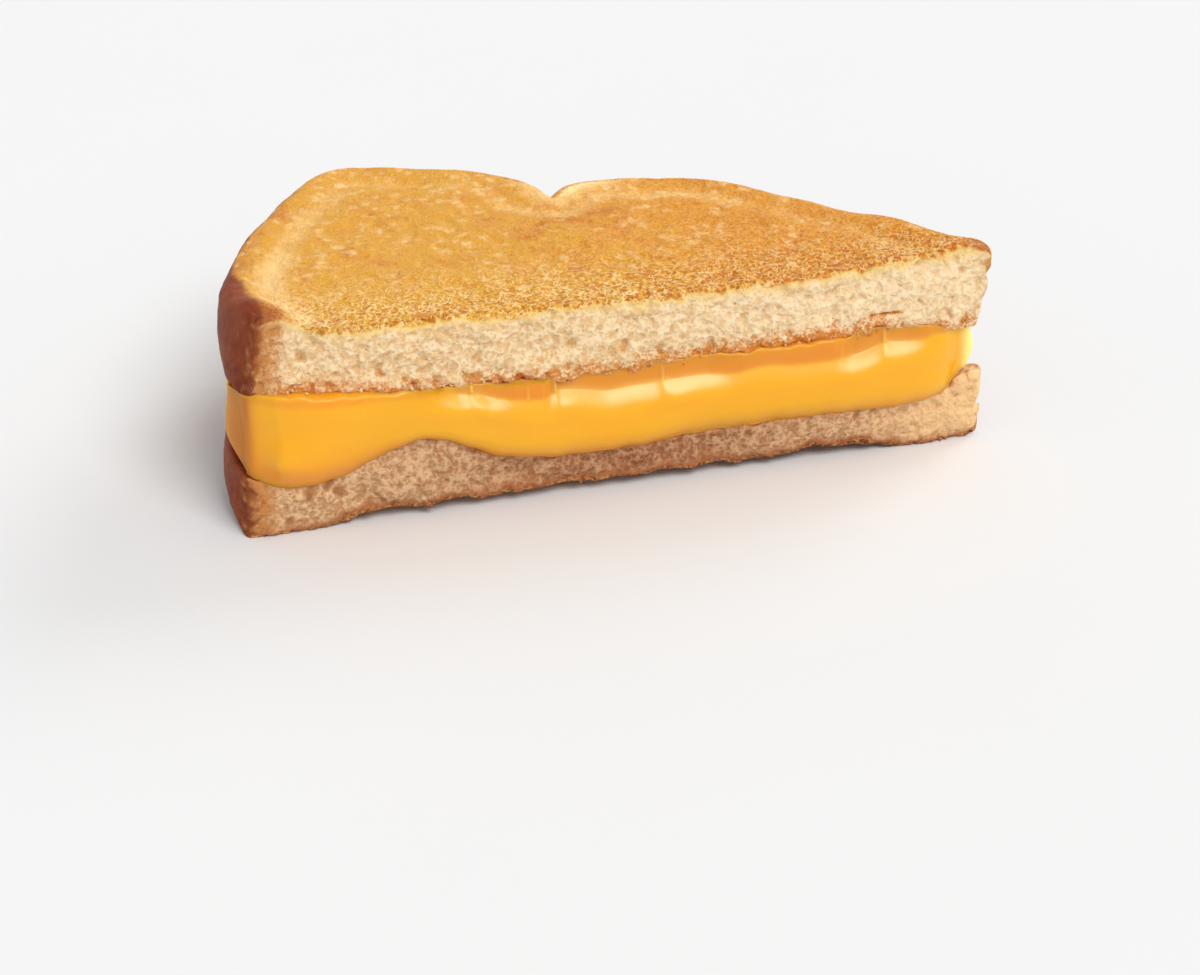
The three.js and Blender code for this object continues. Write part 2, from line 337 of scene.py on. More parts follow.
def lower_bottom(place, distance):
    """Underside: on the table, but curled up in an arch along the cut."""
    x, y = place[..., 0], place[..., 1]
    arch = smoothstep(x, 8, 22) * (1 - smoothstep(x, 104, 120))
    return arch * (2.2 + 0.4 * waves(x * 0.4, 1)) * (1 - smoothstep(y, 0, CURL_REACH))


def leaned(place, up, top_lean, foot_lean, tip_leans):
    """Places moved in from the blunt end and from the tip, by humps that change from foot to top."""
    from_end = np.linalg.norm(place, axis=-1)
    shift = lerp(hump(from_end, 0, 20, foot_lean), hump(from_end, 0, 12, top_lean), up)
    back = fade(place[..., 0] - TIP_X, 8) * lerp(*tip_leans, 1 - (1 - up) ** 1.6)
    return place + shift[..., None] * FROM_BLUNT_END + back[..., None] * FROM_TIP


def from_ends(place):
    """How far each place of a grid lies from the first of its row, at the blunt corner, and from the last,
    at the tip."""
    return [np.linalg.norm(place - end, axis=-1) for end in (place[:, :1], place[:, -1:])]


# ---- Meshes ----


def grid_normals(points):
    """Unit normals of a grid that is a loop down its rows: the cross product of its two differences."""
    down = np.roll(points, -1, axis=0) - np.roll(points, 1, axis=0)
    along = np.gradient(points, axis=1)
    normal = np.cross(along, down)
    length = np.linalg.norm(normal, axis=-1, keepdims=True)
    return normal / np.maximum(length, 1e-9)


def quads_between(upper, lower):
    """Four-sided faces between rows of vertex numbers and the rows below them."""
    return np.stack([upper[:, :-1], upper[:, 1:], lower[:, 1:], lower[:, :-1]], axis=-1).reshape(-1, 4)


def write_marks(mesh, marks):
    """Stores named values on the vertices of a mesh, for its material."""
    for mark, values in marks.items():
        layer = mesh.attributes.new(mark, "FLOAT", "POINT")
        layer.data.foreach_set("value", np.ascontiguousarray(values, np.float32).ravel())


def tube_mesh(name, points, marks):
    """A closed mesh from a grid of places in millimetres: each column is a loop round one section, and the
    first and last section close up on themselves. marks are named values for each place."""
    placed = points.reshape(-1, 3) - [*PLAN_CENTRE, 0]
    index = np.arange(len(placed)).reshape(points.shape[:2])
    quads = quads_between(index, np.roll(index, -1, axis=0))
    a, b, c, d = placed[quads].transpose(1, 0, 2)
    volume = (a * (np.cross(b, c) + np.cross(c, d))).sum()
    quads = quads if volume > 0 else quads[:, ::-1]
    mesh = bpy.data.meshes.new(name)
    mesh.vertices.add(len(placed))
    mesh.vertices.foreach_set("co", (placed * 0.001).ravel())
    mesh.loops.add(quads.size)
    mesh.loops.foreach_set("vertex_index", quads.ravel().astype(np.int32))
    mesh.polygons.add(len(quads))
    mesh.polygons.foreach_set("loop_start", np.arange(0, quads.size, 4, dtype=np.int32))
    mesh.polygons.foreach_set("use_smooth", np.ones(len(quads), bool))
    mesh.update(calc_edges=True)
    write_marks(mesh, marks)
    work = bmesh.new()
    work.from_mesh(mesh)
    work.verts.ensure_lookup_table()
    ends = [work.verts[i] for i in np.concatenate([index[:, 0], index[:, -1]])]
    bmesh.ops.remove_doubles(work, verts=ends, dist=SEAM_WELD)
    work.to_mesh(mesh)
    work.free()
    return mesh


def add_piece(name, mesh, material, node=None):
    """An object for a mesh, riding on the frame and standing for a node of it."""
    piece = bpy.data.objects.new(name, mesh)
    bpy.context.scene.collection.objects.link(piece)
    mesh.materials.append(material)
    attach(piece, "root")
    if node:
        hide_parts(node)
    return piece


# ---- Materials ----


class Flow:
    """A value on its way through a material: arithmetic on it adds Math nodes, and node adds any other."""

    def __init__(self, tree, socket=None):
        self.tree = tree
        self.socket = socket

    def node(self, kind, settings=None, inputs=None, output=0):
        """Adds a node: its settings are set first, then the values or links of its sockets."""
        made = self.tree.nodes.new(kind)
        for key, value in (settings or {}).items():
            if key == "stops":
                ramp = made.color_ramp
                while len(ramp.elements) < len(value):
                    ramp.elements.new(0.5)
                for element, (at, color) in zip(ramp.elements, value):
                    element.position, element.color = at, (*color, 1)
            else:
                setattr(made, key, value)
        for key, value in (inputs or {}).items():
            if isinstance(value, Flow):
                self.tree.links.new(value.socket, made.inputs[key])
            else:
                made.inputs[key].default_value = value
        return Flow(self.tree, made.outputs[output])

    def math(self, operation, *values, clamp=False):
        """A Math node on the given values."""
        settings = {"operation": operation, "use_clamp": clamp}
        return self.node("ShaderNodeMath", settings, dict(enumerate(values)))

    def __add__(self, other):
        return self.math("ADD", self, other)

    def __sub__(self, other):
        return self.math("SUBTRACT", self, other)

    def __mul__(self, other):
        return self.math("MULTIPLY", self, other)

    def __rsub__(self, other):
        return self.math("SUBTRACT", other, self)

    __radd__ = __add__
    __rmul__ = __mul__

    def ramp(self, low, high):
        """0 at low and 1 at high, smoothly."""
        inputs = {"Value": self, "From Min": low, "From Max": high}
        return self.node("ShaderNodeMapRange", {"interpolation_type": "SMOOTHSTEP"}, inputs)

    def mark(self, name):
        """The value that the mesh carries under a name."""
        return self.node("ShaderNodeAttribute", {"attribute_name": name}, output="Fac")

    def millimetres(self, stretch=(1, 1, 1)):
        """The place on the part in millimetres, stretched along its axes."""
        place = self.node("ShaderNodeTexCoord", output="Object")
        scale = tuple(1000.0 / s for s in stretch)
        return self.node("ShaderNodeMapping", {}, {"Vector": place, "Scale": scale})

    def grain(self, place, size, detail=2.0, seed=0.0):
        """Noise from 0 to 1 with features of a size in millimetres. Each seed gives another pattern."""
        inputs = {"Vector": place, "Scale": 1.0 / size, "Detail": detail, "W": seed}
        return self.node("ShaderNodeTexNoise", {"noise_dimensions": "4D"}, inputs)

    def threads(self, place, size, thickness, seed=0.0):
        """Winding threads: 1 where noise crosses its middle value, falling to 0 on both sides of it."""
        away = self.math("ABSOLUTE", self.grain(place, size, 1.0, seed) - 0.5)
        return away.ramp(thickness, 0.0)

    def cells(self, place, size):
        """Distance from the middles of scattered cells of a size in millimetres."""
        inputs = {"Vector": place, "Scale": 1.0 / size}
        return self.node("ShaderNodeTexVoronoi", {}, inputs, output="Distance")

    def bent(self, place, size, amount):
        """Places pushed aside by noise, by up to half the amount in millimetres."""
        push = self.node("ShaderNodeTexNoise", {}, {"Vector": place, "Scale": 1.0 / size}, output="Color")
        push = self.node("ShaderNodeVectorMath", {"operation": "SUBTRACT"}, {0: push, 1: (0.5, 0.5, 0.5)})
        inputs = {0: push, 1: (amount, amount, amount), 2: place}
        return self.node("ShaderNodeVectorMath", {"operation": "MULTIPLY_ADD"}, inputs)

    def mix(self, color_a, color_b, share):
        """One colour fading into another."""
        settings = {"data_type": "RGBA", "clamp_factor": True}
        return self.node("ShaderNodeMix", settings, {"Factor": share, 6: color_a, 7: color_b}, output=2)

    def layered(self, look, first, *layers):
        """The first colour of a look, with others of its colours laid over it, each by its share."""
        color = rgba(getattr(look, first))
        for name, share in layers:
            color = self.mix(color, rgba(getattr(look, name)), share)
        return color

    def bump(self, height, strength):
        """Normals tilted by the slope of a height, which counts for 0.6 mm at full strength."""
        return self.node("ShaderNodeBump", {}, {"Strength": strength, "Distance": 0.0006, "Height": height})

    def feed(self, shader, values):
        """Links values to the shader's sockets of their names."""
        for key, value in values.items():
            self.tree.links.new(value.socket, shader.inputs[key])


def rgba(color):
    """A colour property as the four numbers of a colour socket."""
    return (*tuple(color)[:3], 1.0)


def srgb(red, green, blue):
    """A colour given as screen values from 0 to 255, as linear light."""
    screen = np.array([red, green, blue]) / 255
    linear = np.where(screen > 0.04045, ((screen + 0.055) / 1.055) ** 2.4, screen / 12.92)
    return tuple(float(v) for v in linear)


def new_material(name, shader_values):
    """A node material with one Principled shader. Returns the material, its start and its shader node."""
    material = bpy.data.materials.new(name)
    material.use_nodes = True
    tree = material.node_tree
    shader = tree.nodes["Principled BSDF"]
    for key, value in shader_values.items():
        shader.inputs[key].default_value = value
    return material, Flow(tree), shader


def bread_material(name, look):
    """Open crumb on the cut, fried golden on the outer face, and mottled dark crust round the edge, with
    painted shade in the crumb's hollows and on the middle of the lower cut, painted highlights on the crumb's
    walls, painted light towards the tip, and a painted sheen on the rim beside the notch.
    """
    if name in bpy.data.materials:
        return bpy.data.materials[name]
    values = {"Subsurface Weight": look.glow, "Subsurface Radius": (0.0016, 0.0009, 0.0005),
              "Subsurface Scale": 1.0, "IOR": 1.4, "Specular IOR Level": 0.3}
    material, flow, shader = new_material(name, values)
    place = flow.millimetres()
    keys = ("toast", "crust", "hollow", "ring", "near_cheese", "browned", "near_cut", "yellow")
    toast, crust, hollow, ring, near_cheese, browned, near_cut, yellow = map(flow.mark, keys)
    fine, small = flow.grain(place, 0.5, 3), flow.grain(place, 1.5, 3)
    middle_size, broad = flow.grain(place, 4.5, 2), flow.grain(place, 15.0, 2)
    fine_swing, small_swing = fine - 0.5, small - 0.5
    uneven = small_swing * 0.6 + fine_swing * 0.5

    crooked = flow.bent(place, 1.6, 1.6)
    cells, small_cells = flow.cells(crooked, 1.7), flow.cells(crooked, 0.8)
    walls = cells.ramp(0.25, 0.75) * 0.45 + small_cells.ramp(0.25, 0.75) * 0.55
    fibres = flow.threads(place, 1.3, 0.06, 5.0) * 0.35
    pitted = hollow + fine_swing * 0.35
    patchy = small_swing * 1.4 + fine_swing * 2.2 + hollow * 0.3
    flecks = flow.cells(place, 2.6).ramp(0.13, 0.05) * (middle_size + near_cheese * 0.4).ramp(0.42, 0.6)
    crumb = flow.layered(
        look, "crumb",
        # Painted shade and highlights: crumb_shade darkens the middles of the cells and the hollows, where
        # shade falls, and crumb_light lights the walls between, partly their paler colour and partly a
        # painted highlight.
        ("crumb_shade", ((1 - walls) * 0.5 + small_swing * 0.5).ramp(0.15, 0.75) * 0.6),
        ("crumb_light", (walls + fibres + fine_swing * 0.9 - hollow * 0.5).ramp(0.3, 0.9)),
        ("crumb_shade", pitted.ramp(0.5, 1.15)),
        # Painted light towards the tip, as where light shines through the bread.
        ("thin", flow.mark("thin_end") * (0.85 - pitted.ramp(0.4, 1.0) * 0.5)),
        # Painted shade on the middle of the lower cut, which lies in shade under the cheese.
        ("shadow", flow.mark("dim") * (0.85 - walls * 0.35)),
        ("soaked", (near_cheese + patchy).ramp(0.5, 1.25)),
        ("browned", (browned + uneven * 2.4).ramp(0.1, 1.1)),
        ("fleck", flecks * 0.8),
    )

    grit = flow.cells(flow.bent(place, 0.8, 0.6), 0.8)
    worms = flow.threads(place, 1.1, 0.08, 9.0)
    patches = small_swing * 1.2 + (middle_size - 0.5) * 1.5 + (broad - 0.5)
    patches = patches * (1.3 - yellow * 0.3) - yellow * 0.12
    golden = (flow.grain(place, 5.0, 2, 3.0) + yellow * 0.22 + near_cut * 0.08 - 0.1).ramp(0.46, 0.62)
    blobs = flow.cells(flow.bent(place, 2.0, 3.0), 2.6).ramp(0.75, 0.0)
    blobs = blobs * flow.grain(place, 7.0, 1, 7.0).ramp(0.32, 0.58)
    grit_share = 0.35 + near_cut * 0.75 - yellow * 0.25
    worms_share = 0.2 - yellow * 0.12 + near_cut * (0.7 + yellow * 0.75)
    fried = flow.layered(
        look, "fried",
        ("fried_dark", (patches + grit * 0.4 - ring * 0.2).ramp(0.08, 0.65) * 0.85),
        ("gilded", golden * (0.4 + near_cut * 0.5)),
        ("amber", (1 - yellow) * 0.55),
        # The ring mark holds the real pale ring and the painted sheen; the painted sheen colour goes where it
        # is highest.
        ("ring", (ring + small_swing * 0.5).ramp(0.05, 0.85) * 0.9),
        ("painted_sheen", ring.ramp(0.8, 1.4) * 0.9),
        ("fried_pale", (blobs + small_swing * 1.3).ramp(0.1, 1.15) * 0.65),
        ("fried_dark", (grit - worms * 0.4).ramp(0.3, 0.75) * grit_share),
        ("fried_pale", worms * fine.ramp(0.36, 0.56) * worms_share),
        ("scorched", (flow.mark("scorch") + uneven * 0.8).ramp(0.1, 1.0) * 0.85),
    )

    mottled = broad * 0.5 + middle_size * 0.3 + small * 0.2
    specks = (fine * 0.6 + small * 0.4).ramp(0.52, 0.7) * mottled.ramp(0.42, 0.6)
    dark_crust = flow.layered(
        look, "crust", ("crust_light", mottled.ramp(0.4, 0.62)), ("browned", specks * 0.3)
    )

    buttered = (toast + uneven * 0.7).ramp(0.05, 0.5) * (1 - browned * 0.7)
    color = flow.mix(crumb, rgba(look.buttered), buttered)
    color = flow.mix(color, fried, (toast + uneven * 0.8).ramp(0.4, 0.85))
    color = flow.mix(color, dark_crust, (crust + uneven * 0.5).ramp(0.2, 0.85))
    spongy = fine * 0.35 + small_cells * 0.5 + cells * 0.4
    gritty = (fine * 0.5 - grit * 0.5 + worms * 0.3) * (0.6 + near_cut * 0.4) + small * 0.4
    height = (spongy * (1 - toast) + gritty * toast) * (1 - crust * 0.9) + crust * (small * 0.3 + fine * 0.1)
    flow.feed(shader, {
        "Base Color": color,
        "Roughness": 0.88 - toast * 0.34 + crust * 0.1 + fine_swing * 0.2,
        "Normal": flow.bump(height, look.relief),
    })
    return material


def cheese_material(look):
    """Smooth melted cheese, deep yellow, with light that soaks into it and a soft gloss; painted shade along
    its edges under the bread and at its foot, painted highlights on its ridge and threads, and a painted glow
    at its thin end.
    """
    values = {"Subsurface Weight": look.glow, "Subsurface Radius": (0.0060, 0.0030, 0.0006),
              "Subsurface Scale": 1.0, "IOR": 1.45, "Specular IOR Level": 0.35, "Coat Roughness": 0.32}
    material, flow, shader = new_material("melted_cheese", values)
    place = flow.millimetres((2.0, 1.0, 1.0))
    soft, broad = flow.grain(place, 3.0, 2), flow.grain(place, 11.0, 2)
    # The crest mark adds gloss through the coat, and paints a highlight through the highlight colour.
    film, crest = flow.mark("film"), flow.mark("crest") * (0.25 + soft * 1.1)
    color = flow.layered(
        look, "body",
        ("deep", (broad * 0.7 + soft * 0.3).ramp(0.45, 0.8) * 0.5),
        ("shade", flow.mark("shaded") * 0.7),
        # Painted highlight and glow: laid where the ridge and threads catch the light and on the end lit from
        # behind.
        ("pale", flow.mark("stretched") + crest * 0.3),
        ("film", film),
    )
    flow.feed(shader, {
        "Base Color": color,
        "Roughness": 0.4 + (soft - 0.5) * 0.14 + film * 0.3,
        "Coat Weight": (0.45 - (broad - 0.5) * 0.5 + crest * 0.5) * (1 - film),
        "Normal": flow.bump(soft * 0.5 + flow.grain(place, 0.8, 2) * 0.06, 0.25),
    })
    return material


# ---- Settings ----


def color_setting(name, description, red, green, blue):
    """A colour property with a default given in screen values."""
    color = srgb(red, green, blue)
    return bpy.props.FloatVectorProperty(
        name=name, description=description, subtype="COLOR", size=3, min=0, max=1, default=color
    )


def number_setting(name, description, default, low, high):
    """A number property."""
    return bpy.props.FloatProperty(name=name, description=description, default=default, min=low, max=high)


class BreadLook(bpy.types.PropertyGroup):
    crumb: color_setting("Crumb", "Colour of the open crumb", 234, 199, 148)
    # Partly the paler colour of the crumb's walls and partly a painted highlight where they catch the light.
    crumb_light: color_setting("Crumb walls", "Colour of the thin walls that catch the light", 248, 223, 182)
    # Painted shade: laid in the crumb's hollows and the middles of its cells, where shade falls.
    crumb_shade: color_setting("Crumb hollows", "Colour inside the hollows of the crumb", 216, 164, 108)
    # Painted light: laid towards the tip, as where light shines through the thin bread from behind.
    thin: color_setting("Thin end", "Colour of the thin end, where light comes through", 255, 230, 190)
    soaked: color_setting("Soaked crumb", "Colour of the crumb soaked with fat from the cheese", 214, 134, 54)
    # Painted shade: laid on the middle of the lower cut, which lies in shade under the cheese.
    shadow: color_setting("Dim crumb", "Colour of the crumb where fat has darkened it", 138, 73, 45)
    fleck: color_setting("Flecks", "Colour of the small toasted flecks in the crumb", 176, 104, 52)
    browned: color_setting("Browned crumb", "Colour of the crumb beside the crust", 196, 132, 72)
    buttered: color_setting("Buttered edge", "Colour of the crumb just under the fried face", 242, 208, 134)
    fried: color_setting("Fried face", "Main colour of the fried outer face", 222, 153, 56)
    gilded: color_setting("Golden patches", "Colour of its yellow patches", 230, 174, 50)
    amber: color_setting("Amber end", "Colour of the fried face towards the thin tip", 226, 148, 12)
    ring: color_setting("Sunk ring", "Colour of the sunk ring inside the crust", 250, 202, 124)
    # Painted sheen: laid on the rim beside the notch, where the fried face glances back the light.
    painted_sheen: color_setting("Pale rim", "Colour of the palest stretch of the rim", 255, 236, 166)
    scorched: color_setting("Scorched tip", "Colour of the fried face at the thin tip", 176, 92, 42)
    fried_dark: color_setting("Fried flecks", "Colour of its dark flecks", 196, 108, 30)
    fried_pale: color_setting("Fried pale specks", "Colour of its pale specks", 252, 214, 148)
    crust: color_setting("Crust", "Colour of the baked crust", 114, 42, 22)
    crust_light: color_setting("Crust patches", "Colour of its lighter patches", 142, 68, 36)
    hollow_depth: number_setting("Hollow depth", "Depth of the crumb's hollows, as a factor", 0.8, 0, 2)
    relief: number_setting("Fine relief", "Strength of the finest relief", 0.8, 0, 1)
    glow: number_setting("Glow", "Share of the light that soaks into the bread", 0.25, 0, 1)


class CheeseLook(bpy.types.PropertyGroup):
    body: color_setting("Cheese", "Main colour of the melted cheese", 253, 178, 4)
    deep: color_setting("Deep cheese", "Colour where it is thick", 250, 162, 6)
    shade: color_setting("Cheese edges", "Colour of its upper and lower edges", 232, 132, 24)
    # Painted highlight: this colour paints the highlights on the ridge and threads and the glow at the thin
    # end.
    pale: color_setting("Stretched cheese", "Colour where it is stretched thin", 255, 238, 152)
    film: color_setting("Cheese film", "Colour of the film that clings to the crust", 202, 124, 46)
    bulge: number_setting("Bulge", "How far it stands out of the cut, in mm", 2.7, 0.5, 4)
    glow: number_setting("Glow", "Share of the light that soaks into the cheese", 0.7, 0, 1)


class StageLook(bpy.types.PropertyGroup):
    floor: color_setting("Floor", "Colour of the plain floor", 233, 233, 233)
    azimuth: number_setting("Azimuth", "Camera angle from the front, in degrees", -16.062, -180, 180)
    elevation: number_setting("Elevation", "Camera angle above the floor, in degrees", 29.5, -90, 90)
    lens: number_setting("Lens", "Focal length, in mm", 81.392, 10, 500)


# ---- Pieces ----


def steps(count, forwards):
    """Evenly spaced shares from 0 to 1, or back from 1 to 0."""
    return np.linspace(0, 1, count) if forwards else np.linspace(1, 0, count)


def seam_fade(plan):
    """0 at both ends of the plan, where the sections close up, and 1 a few millimetres in."""
    return np.clip(plan.width / 2.5, 0, 1)[None, :]


def side_of(points):
    """1 where the grid's normals point out of the piece and -1 where they point into it."""
    middle = points.mean(axis=0, keepdims=True)
    return np.sign((grid_normals(points) * (points - middle)).sum())


def slice_grid(plan, top, bottom, face_rows, crust_lean, crust_rounds):
    """The surface of a slice as a loop down each section: over the top from cut to crust, down the crust,
    back under the slice and up the cut. Returns the places, how high up the slice each row is, and the name
    of the side that each row belongs to."""
    rows, ups, kinds = [], [], []
    top_rows, foot_rows = face_rows
    top_round, foot_round = crust_rounds

    def add(place, level, up, kind):
        rows.append(np.column_stack([place, level]))
        ups.append(up)
        kinds.append(kind)

    def face(surface, count, up, crust_round, kind, outwards):
        start, end = plan.near_cut(CUT_ROUND), plan.near_crust(crust_round + crust_lean * up)
        for share in steps(count, outwards):
            place = lerp(start, end, share)
            add(place, surface(place, plan.from_crust(place)), up, kind)

    def edge(surface, near, round_mm, lean, side, up, kind, outwards):
        for turn in ROUND_TURNS if outwards else ROUND_TURNS[::-1]:
            place = near(round_mm * (1 - np.sin(turn)) + lean)
            level = surface(place, plan.from_crust(place)) - side * round_mm * plan.room * (1 - np.cos(turn))
            add(place, level, up, kind)

    def wall(near, rounds, lean, bulge, kind, downwards):
        ends = near(lean), near(0)
        high = top(ends[0], plan.from_crust(ends[0])) - rounds[0] * plan.room
        low = bottom(ends[1], plan.from_crust(ends[1])) + rounds[1] * plan.room
        for share in steps(WALL_ROWS, downwards):
            inset = lean * (1 - share) - bulge * np.sin(np.pi * share)
            add(near(inset), lerp(high, low, share), 1 - share, kind)

    face(top, top_rows, 1, top_round, "top", True)
    edge(top, plan.near_crust, top_round, crust_lean, 1, 1, "crust_top", True)
    wall(plan.near_crust, crust_rounds, crust_lean, CRUST_BULGE, "crust", True)
    edge(bottom, plan.near_crust, foot_round, 0, -1, 0, "crust_foot", False)
    face(bottom, foot_rows, 0, foot_round, "foot", False)
    edge(bottom, plan.near_cut, CUT_ROUND, 0, -1, 0, "cut_foot", True)
    wall(plan.near_cut, (CUT_ROUND, CUT_ROUND), 0, 0, "cut", False)
    edge(top, plan.near_cut, CUT_ROUND, 0, 1, 1, "cut_top", False)
    return np.stack(rows), np.array(ups, float)[:, None], np.array(kinds)[:, None]


def crumb_hollows(points):
    """Depth of the open crumb: clear pits, most of them small, over crowded fine bubbles, bent out of round
    and stretched a little upwards, so that thin walls are left between them."""
    bent = (points + 0.7 * drift(points, 1.9, 81)) * np.array([1.0, 1.0, 0.85])
    pits = bubbles(bent, 2.6, 11, 0.85, 3.2) * 2.6 * 0.8
    middle_size = bubbles(bent, 1.5, 21, 0.95, 2.2) * 1.5 * 0.7
    small = bubbles(bent, 0.85, 31, 1.15) * 0.85 * 0.45
    return np.maximum(pits, middle_size) + small


class Slice:
    """The places of a slice before its relief: on which of its sides each one lies, and how far it is from
    the slice's edges, in millimetres."""

    def __init__(self, plan, surfaces, leans, upper):
        from_outside = slice(None) if upper else slice(None, None, -1)
        outer, inner = surfaces[from_outside]
        fried_face, plain_face = ("top", "foot")[from_outside]
        crust_rounds = (CRUST_ROUND, CRUST_INNER_ROUND)[from_outside]
        face_rows = (FRIED_ROWS, PLAIN_ROWS)[from_outside]
        points, up, kinds = slice_grid(plan, *surfaces, face_rows, leans[0], crust_rounds)
        self.upper, self.seam_fade = upper, seam_fade(plan)
        self.on_cut = np.isin(kinds, ["cut", "cut_top", "cut_foot"]) * 1.0
        self.on_crust = np.isin(kinds, ["crust", "crust_top", "crust_foot"]) * 1.0
        self.on_fried, self.on_plain = (kinds == fried_face) * 1.0, (kinds == plain_face) * 1.0

        place, height = points[..., :2], points[..., 2]
        self.from_crust = np.stack([plan.from_crust(row) for row in place])
        self.from_outer = np.abs(outer(place, self.from_crust) - height)
        self.from_inner = np.abs(inner(place, self.from_crust) - height)
        self.from_corner, self.from_tip = from_ends(place)
        points[..., :2] = leaned(place, up, *leans[1:])
        self.points = points


def browning(part):
    """Marks for how a slice is browned: fried on its outer face and a little over the edge of its cut,
    crusted round its edge, browned at both ends, soaked beside the cheese, pale along the sunk ring, and a
    painted sheen on the rim beside the notch, carried in the ring mark together with the ring."""
    upper, on_cut, on_crust, on_fried = part.upper, part.on_cut, part.on_crust, part.on_fried
    from_crust, from_outer = part.from_crust, part.from_outer
    from_corner, from_tip = part.from_corner, part.from_tip
    points, x, y = part.points, part.points[..., 0], part.points[..., 1]
    ragged, slow, rough = noise(points, 2.4, 5), noise(points, 7.0, 6), noise(points, 1.0, 7)
    at_tip = fade(from_tip, TIP_REACH)

    over_cut = hump(from_outer, 0, 0.8 + 0.4 * ragged, 0.6) + hump(from_outer, 0, 2.2 + ragged, 0.35)
    bare = hump(from_corner, 0, 4.0, 0.95) + hump(from_tip, 0, 6.0, 0.0 if upper else 0.95)
    toast = on_fried + on_crust * np.clip(1 - bare, 0, 1) + on_cut * over_cut

    from_end = np.linalg.norm(points[..., :2], axis=-1)
    band = (1.6 + 3.8 * (1 - smoothstep(from_end, 16, 34))) * lerp(0.1, 1, smoothstep(from_end, 3, 14))
    band = band * (1 - hump(x, NOTCH[0], 14, 0.7))
    over_edge = 1 - smoothstep(from_crust + 0.4 * ragged + 0.8 * slow, 0.4 * band, 1.6 * band)
    high_crust = np.maximum(smoothstep(from_outer + 0.5 * ragged, 0.2, 3.0), over_edge)
    worn = (0.35 + 0.35 * ragged + 0.3 * rough) * fade(from_corner, 2.1)
    crust = on_crust * high_crust * (1 - worn) + on_fried * over_edge
    crust = crust * (1 - (0.6 if upper else 0.95) * at_tip)
    reach = np.maximum(from_corner + 1.3 * ragged + 0.9 * rough, 0)
    plain_rim = (1 - smoothstep(from_crust + ragged, 3, 6)) * smoothstep(from_tip, 8, 22)
    crust = crust + 0.72 * on_cut * fade(reach, 1.7) + part.on_plain * plain_rim

    tip_brown = (on_cut * fade(from_tip, 1.3) + on_crust * fade(from_tip, 6.0)) * fade(from_outer, 7)
    browned = 1.2 * (on_cut + 0.6 * on_fried + on_crust) * fade(from_corner, 5.5)
    browned = browned + 0.25 * on_cut * at_tip + tip_brown * (1.0 if upper else 0.15)

    soaked = 0.8 + 0.2 * smoothstep(x, 30, 60) + 0.3 * upper * smoothstep(x, 60, 100)
    soaked = soaked * (1 - (0.4 if upper else 0.9) * smoothstep(x, 106, 116))

    ring = hump(from_crust, 9.2, 3.0, 1.0) + hump(from_crust, 13, 3.0, 0.9) * hump(y, 3, 9, 1.0)
    ring = ring * (0.8 + 0.3 * slow) * np.clip(0.35 + hump(x, 4, 20, 0.75) + hump(x, 80, 18, 0.5), 0, 1)
    # Painted sheen: a pale stretch of the rim beside the notch, where the fried face glances back the light.
    painted_sheen = hump(x, 69, 9, 2.2) * fade(from_crust, 5.0) + hump(x, 90, 16, 0.7) * fade(from_crust, 2.2)
    return {
        "toast": np.clip(toast, 0, 1),
        "crust": np.clip(crust, 0, 1),
        "browned": np.clip(browned, 0, 1),
        "near_cheese": on_cut * fade(part.from_inner, 3.4 if upper else 1.2) * soaked,
        # The ring mark carries both the pale sunk ring and the painted sheen.
        "ring": on_fried * np.maximum(ring, painted_sheen),
    }


def bending(part):
    """How far each place of a slice is moved out of true: gentle bends all over, finer ones at the cut, torn
    crumb along the cheese, a broken end at the tip, and roundings of the ends of its top and foot."""
    points, upper, from_tip, height = part.points, part.upper, part.from_tip, part.points[..., 2]
    near_edge = fade(points[..., 1], 1.4) * part.seam_fade
    bend = drift(points, 8.0, 91) * 0.35
    bend = bend + (drift(points, 3.2, 97) * 0.3 + drift(points, 1.3, 92) * 0.2) * near_edge[..., None]
    if upper:
        torn = 0.4 * noise(points, 2.2, 93) + 0.8 * noise(points, 1.0, 94) - 0.25
        bend[..., 2] += part.on_cut * part.seam_fade * fade(part.from_inner, 1.6) * torn
    broken = points * np.array([0.35, 0.35, 1.0])
    bend[..., 0] += fade(from_tip, TIP_REACH) * (0.7 * noise(broken, 3.4, 95) + 0.3 * noise(broken, 1.4, 96))
    near_top = smoothstep(height, *((UPPER_FOOT, SANDWICH_TOP) if upper else LOWER_SHOULDER))
    top_round, foot_round = TIP_ROUNDS[upper]
    end_drop = corner_round(from_tip, top_round) + 1.5 * upper * fade(part.from_corner, 3.5)
    foot_lift = corner_round(from_tip, foot_round) * (1 - smoothstep(height, 0, 9))
    bend[..., 2] = bend[..., 2] * smoothstep(height, 0.0, 1.5) - near_top * end_drop + foot_lift
    return bend


def tinting(part, points):
    """Marks for the tints that change along a slice: painted light towards its tip and through its thin end,
    painted shade on the middle of the lower cut, which lies in shade under the cheese, the grainier face near
    the cut, its yellower blunt end, and the scorched edges of the upper one."""
    x, y = points[..., 0], points[..., 1]
    outside = part.on_fried + part.on_cut
    scorch = hump(part.from_tip, 0, 6.5, 0.85) + hump(part.from_corner, 0, 6.0, 0.6)
    scorch = scorch + hump(part.from_crust, 0, 4.5, 0.9) * hump(x, -2, 22, 1.0)
    return {
        # Painted light: on the right half of the upper cut, and through the thin tip of the lower one.
        "thin_end": part.on_cut * (0.4 * smoothstep(x, 55, 110) if part.upper else smoothstep(x, 106, 133)),
        # Painted shade: 1 on the middle of the lower cut, which lies in shade under the cheese.
        "dim": part.on_cut * hump(x, 66, 33, 0.0 if part.upper else 1.0),
        "near_cut": outside * fade(y, 13),
        "yellow": outside * (1 - smoothstep(x, 40, 100)),
        "scorch": outside * scorch * part.upper,
    }


